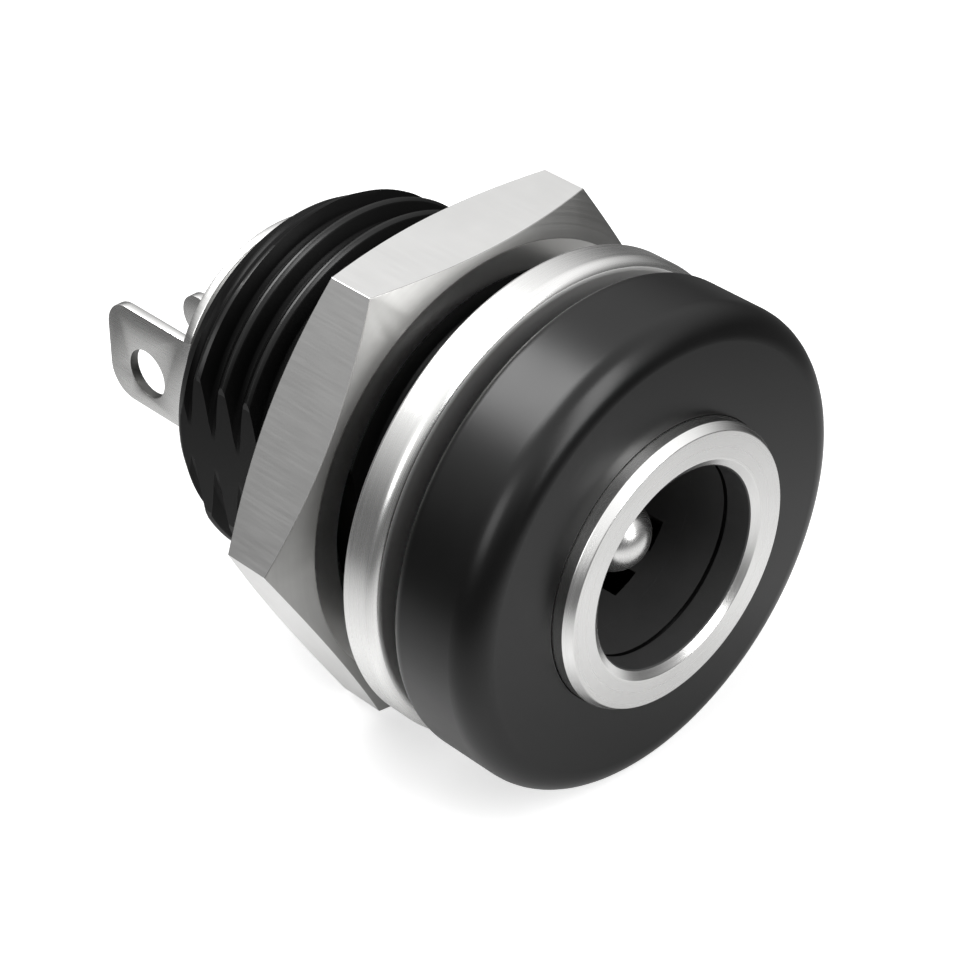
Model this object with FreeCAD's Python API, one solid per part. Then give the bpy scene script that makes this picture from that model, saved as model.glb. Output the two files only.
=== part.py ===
import FreeCAD, Part

import math
import os

# Panel mount power socket for a round barrel plug, in millimetres.
# The axis runs along Y. The mouth faces -Y, the solder tags point to +Y, and +Z is up.
# The origin lies on the axis, in the head's rear face, which seats on the front of a panel.

# Plug bore and the carrier that lines it
PLUG_BORE_RADIUS = 2.94
PLUG_DEPTH = 9.95
LIP_LENGTH = 1.19
CARRIER_WALL = 1.19
CARRIER_GAP = 0.02
SEAM_CHAMFER = 0.05

# Threaded barrel of the housing
BARREL_LENGTH = 10.57
BARREL_WALL = 1.0
BARREL_FLAT_INSET = 0.03
BARREL_MOUTH_CHAMFER = 0.08
LEAD_IN_LENGTH = 1.1
LEAD_IN_BELOW_ROOT = 0.12
NECK_LENGTH = 1.0
NECK_UNDERCUT = 0.06
THREAD_PITCH = 1.0
THREAD_DEPTH_SHARE = 0.5
THREAD_ROOT_LAND_SHARE = 0.24
THREAD_FLANK_DEG = 30.0
THREAD_CREST_FROM_END = 1.12
THREAD_OVERCUT = 0.12

# Head of the housing
HEAD_OVERHANG = 1.4
HEAD_THICKNESS = 2.95
HEAD_SHOULDER_RADIUS = 0.8
HEAD_REAR_ROUND = 0.38

# Mouth ring
RING_WIDTH = 1.22
RING_PROUD = 0.6
RING_SEAT_DEPTH = 0.46
RING_EDGE_ACROSS = 0.15
RING_EDGE_DEEP = 0.26
RING_MOUTH_ACROSS = 0.26
RING_MOUTH_DEEP = 0.17
RING_GAP = 0.01

# Centre pin
PIN_RADIUS = 1.05
PIN_TIP_BELOW_RING = 1.35
PIN_SHANK_STEP = 0.2
PIN_COLLAR_STEP = 0.45
PIN_COLLAR_LENGTH = 1.0
PIN_COLLAR_DEPTH = 0.4
PIN_TAIL_RADIUS = 0.4
PIN_GAP = 0.02
RIVET_HEAD_STEP = 0.13
RIVET_HEAD_HEIGHT = 0.25
RIVET_HEAD_ROUND = 0.14

# Two-pronged sleeve spring, and its channel and windows in the carrier
SPRING_SIDE_DEG = 50.5
SPRING_THICKNESS = 0.25
SPRING_BEHIND_BORE = 0.51
PRONG_WIDTH = 0.65
PRONG_SPACE = 0.9
PRONG_LENGTH = 5.6
PRONG_END_AT = 0.3
PRONG_END_DROP = 0.35
BUMP_INTO_BORE = 0.32
BUMP_BEHIND_END = 1.3
BUMP_REACH = 1.5
SPRING_ROOT_GAP = 0.05
CHANNEL_FLOOR_GAP = 0.1
CHANNEL_SIDE_GAP = 0.15
WINDOW_SIDE_GAP = 0.1
WINDOW_FRONT_SPACE = 0.95
WINDOW_REAR_SPACE = 0.3

# Rear disc
REAR_PLATE_GAP = 0.05
REAR_PLATE_THICKNESS = 1.35
REAR_PLATE_SEAT = 0.37
REAR_PLATE_EDGE = 0.08

# Sleeve tag, with its hole for a wire
TAG_THICKNESS = 0.3
TAG_EYE_INSET = 0.05
SLEEVE_LUG_INSET = 0.5
SLEEVE_LUG_LENGTH = 3.55
SLEEVE_TAG_BEND = 0.6
SLEEVE_TAG_WIDTH = 3.15
SLEEVE_TAG_CORNER = 0.9
SLEEVE_TAG_NOTCH = 0.12
TAG_HOLE_RADIUS = 0.75
TAG_HOLE_FROM_END = 1.65
TAG_HOLE_DROP = 0.35

# Tip tag, riveted to the pin's tail
TIP_TAG_EYE_WALL = 0.68
TIP_TAG_FACE = 0.9
TIP_TAG_BEND = 0.35
TIP_TAG_WIDTH = 1.4
TIP_LUG_LENGTH = 2.65

# Insulating bush
BUSH_WALL = 0.58
BUSH_FLANGE_STEP = 1.1
BUSH_FLANGE_THICKNESS = 0.45
BUSH_FLANGE_ROUND = 0.12

# Flat washer
WASHER_PROUD = 0.01
WASHER_THICKNESS = 1.15
WASHER_STANDOFF = 0.6
WASHER_HOLE_GAP = 0.15
WASHER_FRONT_ROUND = 0.35
WASHER_REAR_ROUND = 0.12

# Hexagon nut
NUT_WALL = 1.16
NUT_THICKNESS = 2.5
NUT_STANDOFF = 1.54
NUT_CORNER_CUT = 1.28
NUT_CORNER_DROP = 0.53
COUNTERSINK_GAP = 0.15
THREAD_RADIAL_GAP = 0.1
THREAD_FLANK_GAP = 0.05

# Directions, and places worked out from the sizes above
ZERO = FreeCAD.Vector(0, 0, 0)
ALONG_X = FreeCAD.Vector(1, 0, 0)
ALONG_Y = FreeCAD.Vector(0, 1, 0)
FULL_TURN = 360.0
HEX_SIDES = 6
BEYOND = 1.0
CARRIER_RADIUS = PLUG_BORE_RADIUS + CARRIER_WALL
POCKET_RADIUS = CARRIER_RADIUS + CARRIER_GAP
THREAD_ROOT_RADIUS = POCKET_RADIUS + BARREL_WALL
THREAD_DEPTH = THREAD_PITCH * THREAD_DEPTH_SHARE
THREAD_CREST_RADIUS = THREAD_ROOT_RADIUS + THREAD_DEPTH
THREAD_ROOT_LAND = THREAD_PITCH * THREAD_ROOT_LAND_SHARE
FLANK_SLOPE = math.tan(math.radians(THREAD_FLANK_DEG))
THREAD_CREST_AT_LEFT = BARREL_LENGTH - THREAD_CREST_FROM_END
BARREL_END_RADIUS = THREAD_ROOT_RADIUS - LEAD_IN_BELOW_ROOT
HEAD_RADIUS = THREAD_CREST_RADIUS + HEAD_OVERHANG
HEAD_FRONT = -HEAD_THICKNESS
RING_RADIUS = PLUG_BORE_RADIUS + RING_WIDTH
RING_FACE = HEAD_FRONT - RING_PROUD
RING_BACK = HEAD_FRONT + RING_SEAT_DEPTH
POCKET_FRONT = RING_BACK + LIP_LENGTH
PLUG_FLOOR = RING_FACE + PLUG_DEPTH
PLATE_FRONT = BARREL_LENGTH - REAR_PLATE_SEAT
PLATE_REAR = PLATE_FRONT + REAR_PLATE_THICKNESS
REAR_PLATE_RADIUS = POCKET_RADIUS - REAR_PLATE_GAP
SLEEVE_TAG_RADIUS = REAR_PLATE_RADIUS - TAG_EYE_INSET
SLEEVE_TAG_FACE = SLEEVE_TAG_RADIUS - SLEEVE_LUG_INSET
SLEEVE_TAG_REAR = PLATE_REAR + TAG_THICKNESS
SLEEVE_TAG_END = SLEEVE_TAG_REAR + SLEEVE_LUG_LENGTH
BUSH_REAR = SLEEVE_TAG_REAR + BUSH_FLANGE_THICKNESS
TIP_TAG_REAR = BUSH_REAR + TAG_THICKNESS
TIP_TAG_END = TIP_TAG_REAR + TIP_LUG_LENGTH
PIN_TIP = RING_FACE + PIN_TIP_BELOW_RING
COLLAR_REAR = PLATE_FRONT - PIN_COLLAR_DEPTH
COLLAR_FRONT = COLLAR_REAR - PIN_COLLAR_LENGTH
PIN_SHANK_RADIUS = PIN_RADIUS - PIN_SHANK_STEP
PIN_COLLAR_RADIUS = PIN_RADIUS + PIN_COLLAR_STEP
RIVET_HEAD_RADIUS = PIN_TAIL_RADIUS + RIVET_HEAD_STEP
TAIL_HOLE_RADIUS = PIN_TAIL_RADIUS + PIN_GAP
TIP_TAG_EYE_RADIUS = TAIL_HOLE_RADIUS + TIP_TAG_EYE_WALL
BUSH_HUB_RADIUS = TAIL_HOLE_RADIUS + BUSH_WALL
BUSH_FLANGE_RADIUS = BUSH_HUB_RADIUS + BUSH_FLANGE_STEP
HUB_HOLE_RADIUS = BUSH_HUB_RADIUS + PIN_GAP
SPRING_RADIUS = PLUG_BORE_RADIUS + SPRING_BEHIND_BORE
SPRING_INNER = SPRING_RADIUS - SPRING_THICKNESS / 2
SPRING_HALF_WIDTH = PRONG_SPACE / 2 + PRONG_WIDTH
SPRING_ROOT = PLATE_FRONT - SPRING_ROOT_GAP
BUMP_RADIUS = PLUG_BORE_RADIUS - BUMP_INTO_BORE
BUMP_AT = PRONG_END_AT + BUMP_BEHIND_END
CHANNEL_FRONT = PRONG_END_AT - WINDOW_FRONT_SPACE
CHANNEL_FLOOR = SPRING_INNER - CHANNEL_FLOOR_GAP
WASHER_RADIUS = HEAD_RADIUS + WASHER_PROUD
WASHER_REAR = WASHER_STANDOFF + WASHER_THICKNESS
NUT_ACROSS_FLATS = 2 * (THREAD_CREST_RADIUS + NUT_WALL)
NUT_FRONT = WASHER_REAR + NUT_STANDOFF
NUT_REAR = NUT_FRONT + NUT_THICKNESS


def arc_edge(start, end, centre):
    """The short arc from start to end round a centre, in the XY plane."""
    radius = math.dist(centre, start)
    middle = [(start[i] + end[i]) / 2 - centre[i] for i in range(2)]
    reach = radius / math.hypot(*middle)
    peak = [centre[i] + middle[i] * reach for i in range(2)]
    points = [FreeCAD.Vector(x, y, 0) for x, y in (start, peak, end)]
    return Part.Arc(*points).toShape()


def outline(steps):
    """A closed face in the XY plane. A step is (x, y), or (x, y, centre) to reach it by an arc."""
    edges = []
    for i, step in enumerate(steps):
        last = steps[i - 1]
        if len(step) == 3:
            edges.append(arc_edge(last[:2], step[:2], step[2]))
        else:
            start = FreeCAD.Vector(last[0], last[1], 0)
            end = FreeCAD.Vector(step[0], step[1], 0)
            edges.append(Part.makeLine(start, end))
    return Part.Face(Part.Wire(edges))


def lathe(steps):
    """A solid turned about the Y axis from a (radius, y) outline."""
    return outline(steps).revolve(ZERO, ALONG_Y, FULL_TURN)


def rod(radius, front, rear):
    """A cylinder on the Y axis."""
    return Part.makeCylinder(radius, rear - front, FreeCAD.Vector(0, front, 0), ALONG_Y)


def cross_pin(radius, x_from, x_to, y, z):
    """A cylinder along X."""
    return Part.makeCylinder(radius, x_to - x_from, FreeCAD.Vector(x_from, y, z), ALONG_X)


def block(low, high):
    """A box between its lowest and highest corners."""
    size = [high[i] - low[i] for i in range(3)]
    return Part.makeBox(*size, FreeCAD.Vector(*low))


def plate(steps, width):
    """An XY outline made into a plate, centred on Z = 0."""
    face = outline(steps)
    face.translate(FreeCAD.Vector(0, 0, -width / 2))
    return face.extrude(FreeCAD.Vector(0, 0, width))


def to_spring_side(shape):
    """Turn a shape that was made at +X to the side of the bore where the spring lies."""
    shape.rotate(ZERO, ALONG_Y, SPRING_SIDE_DEG)
    return shape


def thread_cutter(at_right, inner, outer, inner_land, outer_land, front, rear):
    """A right-handed helical bar of trapezoid section, one turn of which crosses +X at at_right."""
    path = Part.makeHelix(THREAD_PITCH, rear - front, inner)
    corners = [
        FreeCAD.Vector(inner, 0, -inner_land / 2),
        FreeCAD.Vector(outer, 0, -outer_land / 2),
        FreeCAD.Vector(outer, 0, outer_land / 2),
        FreeCAD.Vector(inner, 0, inner_land / 2),
    ]
    sweep = Part.BRepOffsetAPI.MakePipeShell(Part.Wire(path.Edges))
    sweep.setFrenetMode(True)
    sweep.add(Part.makePolygon(corners + corners[:1]))
    sweep.build()
    sweep.makeSolid()
    bar = sweep.shape()
    bar.rotate(ZERO, ALONG_X, -FULL_TURN / 4)
    bar.rotate(ZERO, ALONG_Y, FULL_TURN * (front - at_right) / THREAD_PITCH)
    bar.translate(FreeCAD.Vector(0, front, 0))
    return bar


def head():
    """The round head, with the bore, the seat of the mouth ring and the plain neck behind it."""
    rear_centre = HEAD_RADIUS - HEAD_REAR_ROUND
    shoulder_centre = HEAD_RADIUS - HEAD_SHOULDER_RADIUS
    shoulder_y = HEAD_FRONT + HEAD_SHOULDER_RADIUS
    neck_radius = THREAD_ROOT_RADIUS - NECK_UNDERCUT
    recess_radius = RING_RADIUS + RING_GAP
    return lathe([
        (PLUG_BORE_RADIUS + SEAM_CHAMFER, RING_BACK),
        (PLUG_BORE_RADIUS, RING_BACK + SEAM_CHAMFER),
        (PLUG_BORE_RADIUS, POCKET_FRONT),
        (POCKET_RADIUS, POCKET_FRONT),
        (POCKET_RADIUS, NECK_LENGTH),
        (neck_radius, NECK_LENGTH),
        (neck_radius, 0),
        (rear_centre, 0),
        (HEAD_RADIUS, -HEAD_REAR_ROUND, (rear_centre, -HEAD_REAR_ROUND)),
        (HEAD_RADIUS, shoulder_y),
        (shoulder_centre, HEAD_FRONT, (shoulder_centre, shoulder_y)),
        (recess_radius, HEAD_FRONT),
        (recess_radius, RING_BACK),
    ])


def barrel_envelope():
    """What the threaded barrel fills from neck to end: a tube with a lead-in cone."""
    slope = (THREAD_CREST_RADIUS - BARREL_END_RADIUS) / LEAD_IN_LENGTH
    cone_front = BARREL_LENGTH - LEAD_IN_LENGTH - BEYOND
    widest = THREAD_CREST_RADIUS + BEYOND * slope
    return lathe([
        (POCKET_RADIUS, NECK_LENGTH),
        (POCKET_RADIUS, BARREL_LENGTH - BARREL_MOUTH_CHAMFER),
        (POCKET_RADIUS + BARREL_MOUTH_CHAMFER, BARREL_LENGTH),
        (BARREL_END_RADIUS, BARREL_LENGTH),
        (widest, cone_front),
        (widest, NECK_LENGTH),
    ])


def threaded_bar(root, crest, root_land, front, rear):
    """A solid bar with a thread in line with the barrel's, cut from front to just short of rear."""
    outer = crest + THREAD_OVERCUT
    outer_land = root_land + 2 * (outer - root) * FLANK_SLOPE
    groove_at_right = THREAD_CREST_AT_LEFT
    groove = thread_cutter(groove_at_right, root, outer, root_land, outer_land,
                           front - THREAD_PITCH / 4, rear - THREAD_PITCH / 2)
    return rod(crest, front, rear).cut(groove)


def housing():
    """The black moulding: head, threaded barrel, and a flat on each side of the thread."""
    bar_front = NECK_LENGTH - THREAD_PITCH / 4
    bar_rear = BARREL_LENGTH + THREAD_PITCH
    bar = threaded_bar(THREAD_ROOT_RADIUS, THREAD_CREST_RADIUS, THREAD_ROOT_LAND, bar_front, bar_rear)
    flat = THREAD_ROOT_RADIUS - BARREL_FLAT_INSET
    slab = block((-flat, 0, -HEAD_RADIUS), (flat, bar_rear + BEYOND, HEAD_RADIUS))
    barrel = bar.common(slab).common(barrel_envelope())
    return head().fuse(barrel).removeSplitter()


def mouth_ring():
    """The bright ring pressed into the front of the head."""
    return lathe([
        (PLUG_BORE_RADIUS + RING_MOUTH_ACROSS, RING_FACE),
        (RING_RADIUS - RING_EDGE_ACROSS, RING_FACE),
        (RING_RADIUS, RING_FACE + RING_EDGE_DEEP),
        (RING_RADIUS, RING_BACK),
        (PLUG_BORE_RADIUS, RING_BACK),
        (PLUG_BORE_RADIUS, RING_FACE + RING_MOUTH_DEEP),
    ])


def contact_carrier():
    """The black moulding that lines the plug bore and holds the pin and the sleeve spring."""
    collar_hole = PIN_COLLAR_RADIUS + PIN_GAP
    pin_hole = PIN_SHANK_RADIUS + PIN_GAP
    body = lathe([
        (PLUG_BORE_RADIUS, POCKET_FRONT),
        (CARRIER_RADIUS, POCKET_FRONT),
        (CARRIER_RADIUS, PLATE_FRONT),
        (collar_hole, PLATE_FRONT),
        (collar_hole, COLLAR_FRONT),
        (pin_hole, COLLAR_FRONT),
        (pin_hole, PLUG_FLOOR),
        (PLUG_BORE_RADIUS, PLUG_FLOOR),
    ])
    channel_half = SPRING_HALF_WIDTH + CHANNEL_SIDE_GAP
    channel = block((CHANNEL_FLOOR, CHANNEL_FRONT, -channel_half),
                    (CARRIER_RADIUS + BEYOND, PLATE_FRONT + BEYOND, channel_half))
    body = body.cut(to_spring_side(channel))
    window_rear = BUMP_AT + BUMP_REACH + WINDOW_REAR_SPACE
    near = PRONG_SPACE / 2 - WINDOW_SIDE_GAP
    far = SPRING_HALF_WIDTH + WINDOW_SIDE_GAP
    for low, high in ((-far, -near), (near, far)):
        window = block((PIN_RADIUS, CHANNEL_FRONT, low), (CHANNEL_FLOOR + BEYOND / 2, window_rear, high))
        body = body.cut(to_spring_side(window))
    return body


def centre_pin():
    """The tip contact: a domed pin on a thinner shank, a collar, and a tail riveted behind the tag."""
    head_rear = TIP_TAG_REAR + RIVET_HEAD_HEIGHT
    return lathe([
        (0, PIN_TIP),
        (PIN_RADIUS, PIN_TIP + PIN_RADIUS, (0, PIN_TIP + PIN_RADIUS)),
        (PIN_RADIUS, PLUG_FLOOR),
        (PIN_SHANK_RADIUS, PLUG_FLOOR),
        (PIN_SHANK_RADIUS, COLLAR_FRONT),
        (PIN_COLLAR_RADIUS, COLLAR_FRONT),
        (PIN_COLLAR_RADIUS, COLLAR_REAR),
        (PIN_TAIL_RADIUS, COLLAR_REAR),
        (PIN_TAIL_RADIUS, TIP_TAG_REAR),
        (RIVET_HEAD_RADIUS, TIP_TAG_REAR),
        (RIVET_HEAD_RADIUS, head_rear - RIVET_HEAD_ROUND),
        (RIVET_HEAD_RADIUS - RIVET_HEAD_ROUND, head_rear),
        (0, head_rear),
    ])


def sleeve_spring():
    """The leaf that presses on the plug's sleeve: one root, two prongs, each with a bump."""
    bent = [
        (SPRING_INNER, SPRING_ROOT),
        (SPRING_INNER, BUMP_AT + BUMP_REACH),
        (BUMP_RADIUS, BUMP_AT),
        (SPRING_INNER - PRONG_END_DROP, PRONG_END_AT),
    ]
    back = [(x + SPRING_THICKNESS, y) for x, y in reversed(bent)]
    leaf = plate(bent + back, 2 * SPRING_HALF_WIDTH)
    slot = block((0, PRONG_END_AT - BEYOND, -PRONG_SPACE / 2),
                 (CARRIER_RADIUS, PRONG_END_AT + PRONG_LENGTH, PRONG_SPACE / 2))
    return to_spring_side(leaf.cut(slot))


def rear_plate():
    """The bright disc that closes the barrel and carries the sleeve tag."""
    return lathe([
        (HUB_HOLE_RADIUS, PLATE_FRONT),
        (REAR_PLATE_RADIUS, PLATE_FRONT),
        (REAR_PLATE_RADIUS, PLATE_REAR - REAR_PLATE_EDGE),
        (REAR_PLATE_RADIUS - REAR_PLATE_EDGE, PLATE_REAR),
        (HUB_HOLE_RADIUS, PLATE_REAR),
    ])


def bent_strip(face, bend, front, end, width):
    """A strip that leaves a tag's eye towards -X and bends rearwards, with its outer face at -face."""
    bend_x = bend - face
    bend_centre = (bend_x, front + bend)
    return plate([
        (0, front),
        (bend_x, front),
        (-face, front + bend, bend_centre),
        (-face, end),
        (TAG_THICKNESS - face, end),
        (TAG_THICKNESS - face, front + bend),
        (bend_x, front + TAG_THICKNESS, bend_centre),
        (0, front + TAG_THICKNESS),
    ], width)


def sleeve_tag():
    """The wide solder tag: an eye behind the disc and a holed lug bent rearwards."""
    eye = rod(SLEEVE_TAG_RADIUS, PLATE_REAR, SLEEVE_TAG_REAR)
    notch = SLEEVE_TAG_WIDTH / 2 + SLEEVE_TAG_NOTCH
    eye = eye.cut(block((-SLEEVE_TAG_RADIUS - BEYOND, PLATE_REAR - BEYOND, -notch),
                        (SLEEVE_TAG_BEND - SLEEVE_TAG_FACE, SLEEVE_TAG_REAR + BEYOND, notch)))
    strip = bent_strip(SLEEVE_TAG_FACE, SLEEVE_TAG_BEND, PLATE_REAR, SLEEVE_TAG_END, SLEEVE_TAG_WIDTH)
    corners = [
        edge for edge in strip.Edges
        if all(abs(v.Y - SLEEVE_TAG_END) < PIN_GAP for v in edge.Vertexes)
        and abs(edge.Vertexes[0].Z - edge.Vertexes[-1].Z) < PIN_GAP
    ]
    strip = strip.makeFillet(SLEEVE_TAG_CORNER, corners)
    tag = eye.fuse(strip).removeSplitter()
    tag = tag.cut(rod(HUB_HOLE_RADIUS, PLATE_REAR - BEYOND, SLEEVE_TAG_REAR + BEYOND))
    hole_y = SLEEVE_TAG_END - TAG_HOLE_FROM_END
    return tag.cut(cross_pin(TAG_HOLE_RADIUS, -SLEEVE_TAG_RADIUS, 0, hole_y, -TAG_HOLE_DROP))


def tip_tag():
    """The narrow solder tag on the pin's tail, with a round end."""
    eye = rod(TIP_TAG_EYE_RADIUS, BUSH_REAR, TIP_TAG_REAR)
    far = TIP_TAG_EYE_RADIUS + BEYOND
    eye = eye.cut(block((-far, BUSH_REAR - BEYOND, -far),
                        (TIP_TAG_BEND - TIP_TAG_FACE, TIP_TAG_REAR + BEYOND, far)))
    half = TIP_TAG_WIDTH / 2
    strip = bent_strip(TIP_TAG_FACE, TIP_TAG_BEND, BUSH_REAR, TIP_TAG_END - half, TIP_TAG_WIDTH)
    round_end = cross_pin(half, -TIP_TAG_FACE, TAG_THICKNESS - TIP_TAG_FACE, TIP_TAG_END - half, 0)
    tag = eye.fuse([strip, round_end]).removeSplitter()
    return tag.cut(rod(TAIL_HOLE_RADIUS, BUSH_REAR - BEYOND, TIP_TAG_REAR + BEYOND))


def pin_bush():
    """The insulating bush that keeps the pin's tail clear of the disc and the sleeve tag."""
    round_x = BUSH_FLANGE_RADIUS - BUSH_FLANGE_ROUND
    round_y = BUSH_REAR - BUSH_FLANGE_ROUND
    return lathe([
        (TAIL_HOLE_RADIUS, COLLAR_REAR),
        (BUSH_HUB_RADIUS, COLLAR_REAR),
        (BUSH_HUB_RADIUS, SLEEVE_TAG_REAR),
        (BUSH_FLANGE_RADIUS, SLEEVE_TAG_REAR),
        (BUSH_FLANGE_RADIUS, round_y),
        (round_x, BUSH_REAR, (round_x, round_y)),
        (TAIL_HOLE_RADIUS, BUSH_REAR),
    ])


def flat_washer():
    """The plain washer, loose on the barrel, with a rounded front edge."""
    hole = THREAD_CREST_RADIUS + WASHER_HOLE_GAP
    front_x = WASHER_RADIUS - WASHER_FRONT_ROUND
    front_y = WASHER_STANDOFF + WASHER_FRONT_ROUND
    rear_x = WASHER_RADIUS - WASHER_REAR_ROUND
    rear_y = WASHER_REAR - WASHER_REAR_ROUND
    return lathe([
        (hole, WASHER_STANDOFF),
        (front_x, WASHER_STANDOFF),
        (WASHER_RADIUS, front_y, (front_x, front_y)),
        (WASHER_RADIUS, rear_y),
        (rear_x, WASHER_REAR, (rear_x, rear_y)),
        (hole, WASHER_REAR),
    ])


def nut_blank():
    """A hexagon with a flat on top and its corners turned off on both faces."""
    corner = NUT_ACROSS_FLATS / math.sqrt(3)
    turns = [2 * math.pi * i / HEX_SIDES for i in range(HEX_SIDES + 1)]
    points = [FreeCAD.Vector(corner * math.cos(t), NUT_FRONT, corner * math.sin(t)) for t in turns]
    prism = Part.Face(Part.makePolygon(points)).extrude(ALONG_Y * NUT_THICKNESS)
    face_circle = corner - NUT_CORNER_CUT
    wide = corner + NUT_CORNER_CUT
    wide_drop = 2 * NUT_CORNER_DROP
    return prism.common(lathe([
        (0, NUT_FRONT),
        (face_circle, NUT_FRONT),
        (wide, NUT_FRONT + wide_drop),
        (wide, NUT_REAR - wide_drop),
        (face_circle, NUT_REAR),
        (0, NUT_REAR),
    ]))


def hex_nut():
    """The nut, with a thread that runs on the barrel's with a small gap all round."""
    minor = THREAD_ROOT_RADIUS + THREAD_RADIAL_GAP
    major = THREAD_CREST_RADIUS + THREAD_RADIAL_GAP
    ridge_land = THREAD_ROOT_LAND - 2 * THREAD_FLANK_GAP
    bar = threaded_bar(minor, major, ridge_land, NUT_FRONT - THREAD_PITCH, NUT_REAR + THREAD_PITCH)
    body = nut_blank().cut(bar)
    sink = THREAD_CREST_RADIUS + COUNTERSINK_GAP
    for face, way in ((NUT_FRONT, -1), (NUT_REAR, 1)):
        body = body.cut(lathe([
            (0, face + way * BEYOND),
            (sink + BEYOND, face + way * BEYOND),
            (0, face - way * sink),
        ]))
    return body


def main():
    """Make every piece and write it."""
    os.makedirs("parts", exist_ok=True)
    makers = (housing, mouth_ring, contact_carrier, centre_pin, sleeve_spring, rear_plate, sleeve_tag,
              tip_tag, pin_bush, flat_washer, hex_nut)
    for maker in makers:
        shape = maker()
        if not shape.isValid() or len(shape.Solids) != 1:
            raise ValueError(maker.__name__ + " is not one sound solid")
        solid = shape.Solids[0]
        solid.exportStep("parts/" + maker.__name__ + ".step")
        print(maker.__name__, round(solid.Volume, 3))


main()
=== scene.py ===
import logging
import math
from dataclasses import dataclass
from enum import Enum
from typing import Callable, Sequence

import bmesh
import bpy
from mathutils import Matrix, Vector


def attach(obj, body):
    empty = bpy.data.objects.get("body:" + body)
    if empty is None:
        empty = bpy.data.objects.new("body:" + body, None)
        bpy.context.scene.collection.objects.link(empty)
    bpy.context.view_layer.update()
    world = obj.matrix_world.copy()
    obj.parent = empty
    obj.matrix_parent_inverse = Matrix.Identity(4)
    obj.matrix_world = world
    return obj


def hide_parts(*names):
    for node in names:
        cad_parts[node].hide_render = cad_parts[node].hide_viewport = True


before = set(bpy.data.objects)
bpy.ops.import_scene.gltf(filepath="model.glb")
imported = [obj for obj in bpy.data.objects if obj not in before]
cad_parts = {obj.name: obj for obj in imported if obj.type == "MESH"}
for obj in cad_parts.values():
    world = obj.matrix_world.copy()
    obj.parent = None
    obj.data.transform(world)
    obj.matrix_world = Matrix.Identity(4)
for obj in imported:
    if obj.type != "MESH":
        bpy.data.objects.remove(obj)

# Shapes are made in millimetres and brought to metres as each piece is finished.
MM = 0.001
FULL_TURN = 2 * math.pi
AXIS = Vector((0, 1, 0))
WELD = 1e-4
# How far past a named size a face's middle may lie and still count as within it.
HAIR = 0.01
SMOOTH_BELOW = math.radians(32)

Colour = tuple[float, float, float, float]
Point = tuple[float, float]
Corner = tuple[float, float, float]

log = logging.getLogger("socket")


def grey(level: float) -> Colour:
    """An opaque grey."""
    return (level, level, level, 1.0)


class Body(Enum):
    """The rigid bodies that new pieces ride on."""

    SOCKET = "socket"
    WASHER = "washer"
    NUT = "nut"


class Slot(Enum):
    """The record's material slots, which new pieces are passed with but not given."""

    MOULDING = "black_moulding"
    INSULATOR = "dark_insulator"
    PLATE = "nickel_plate"


class Grain(Enum):
    """Which way the fine tool marks run on a metal piece."""

    TURNED = "rings about the axis"
    DRAWN = "lines along the axis"
    ROLLED = "short lines along a strip"


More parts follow.
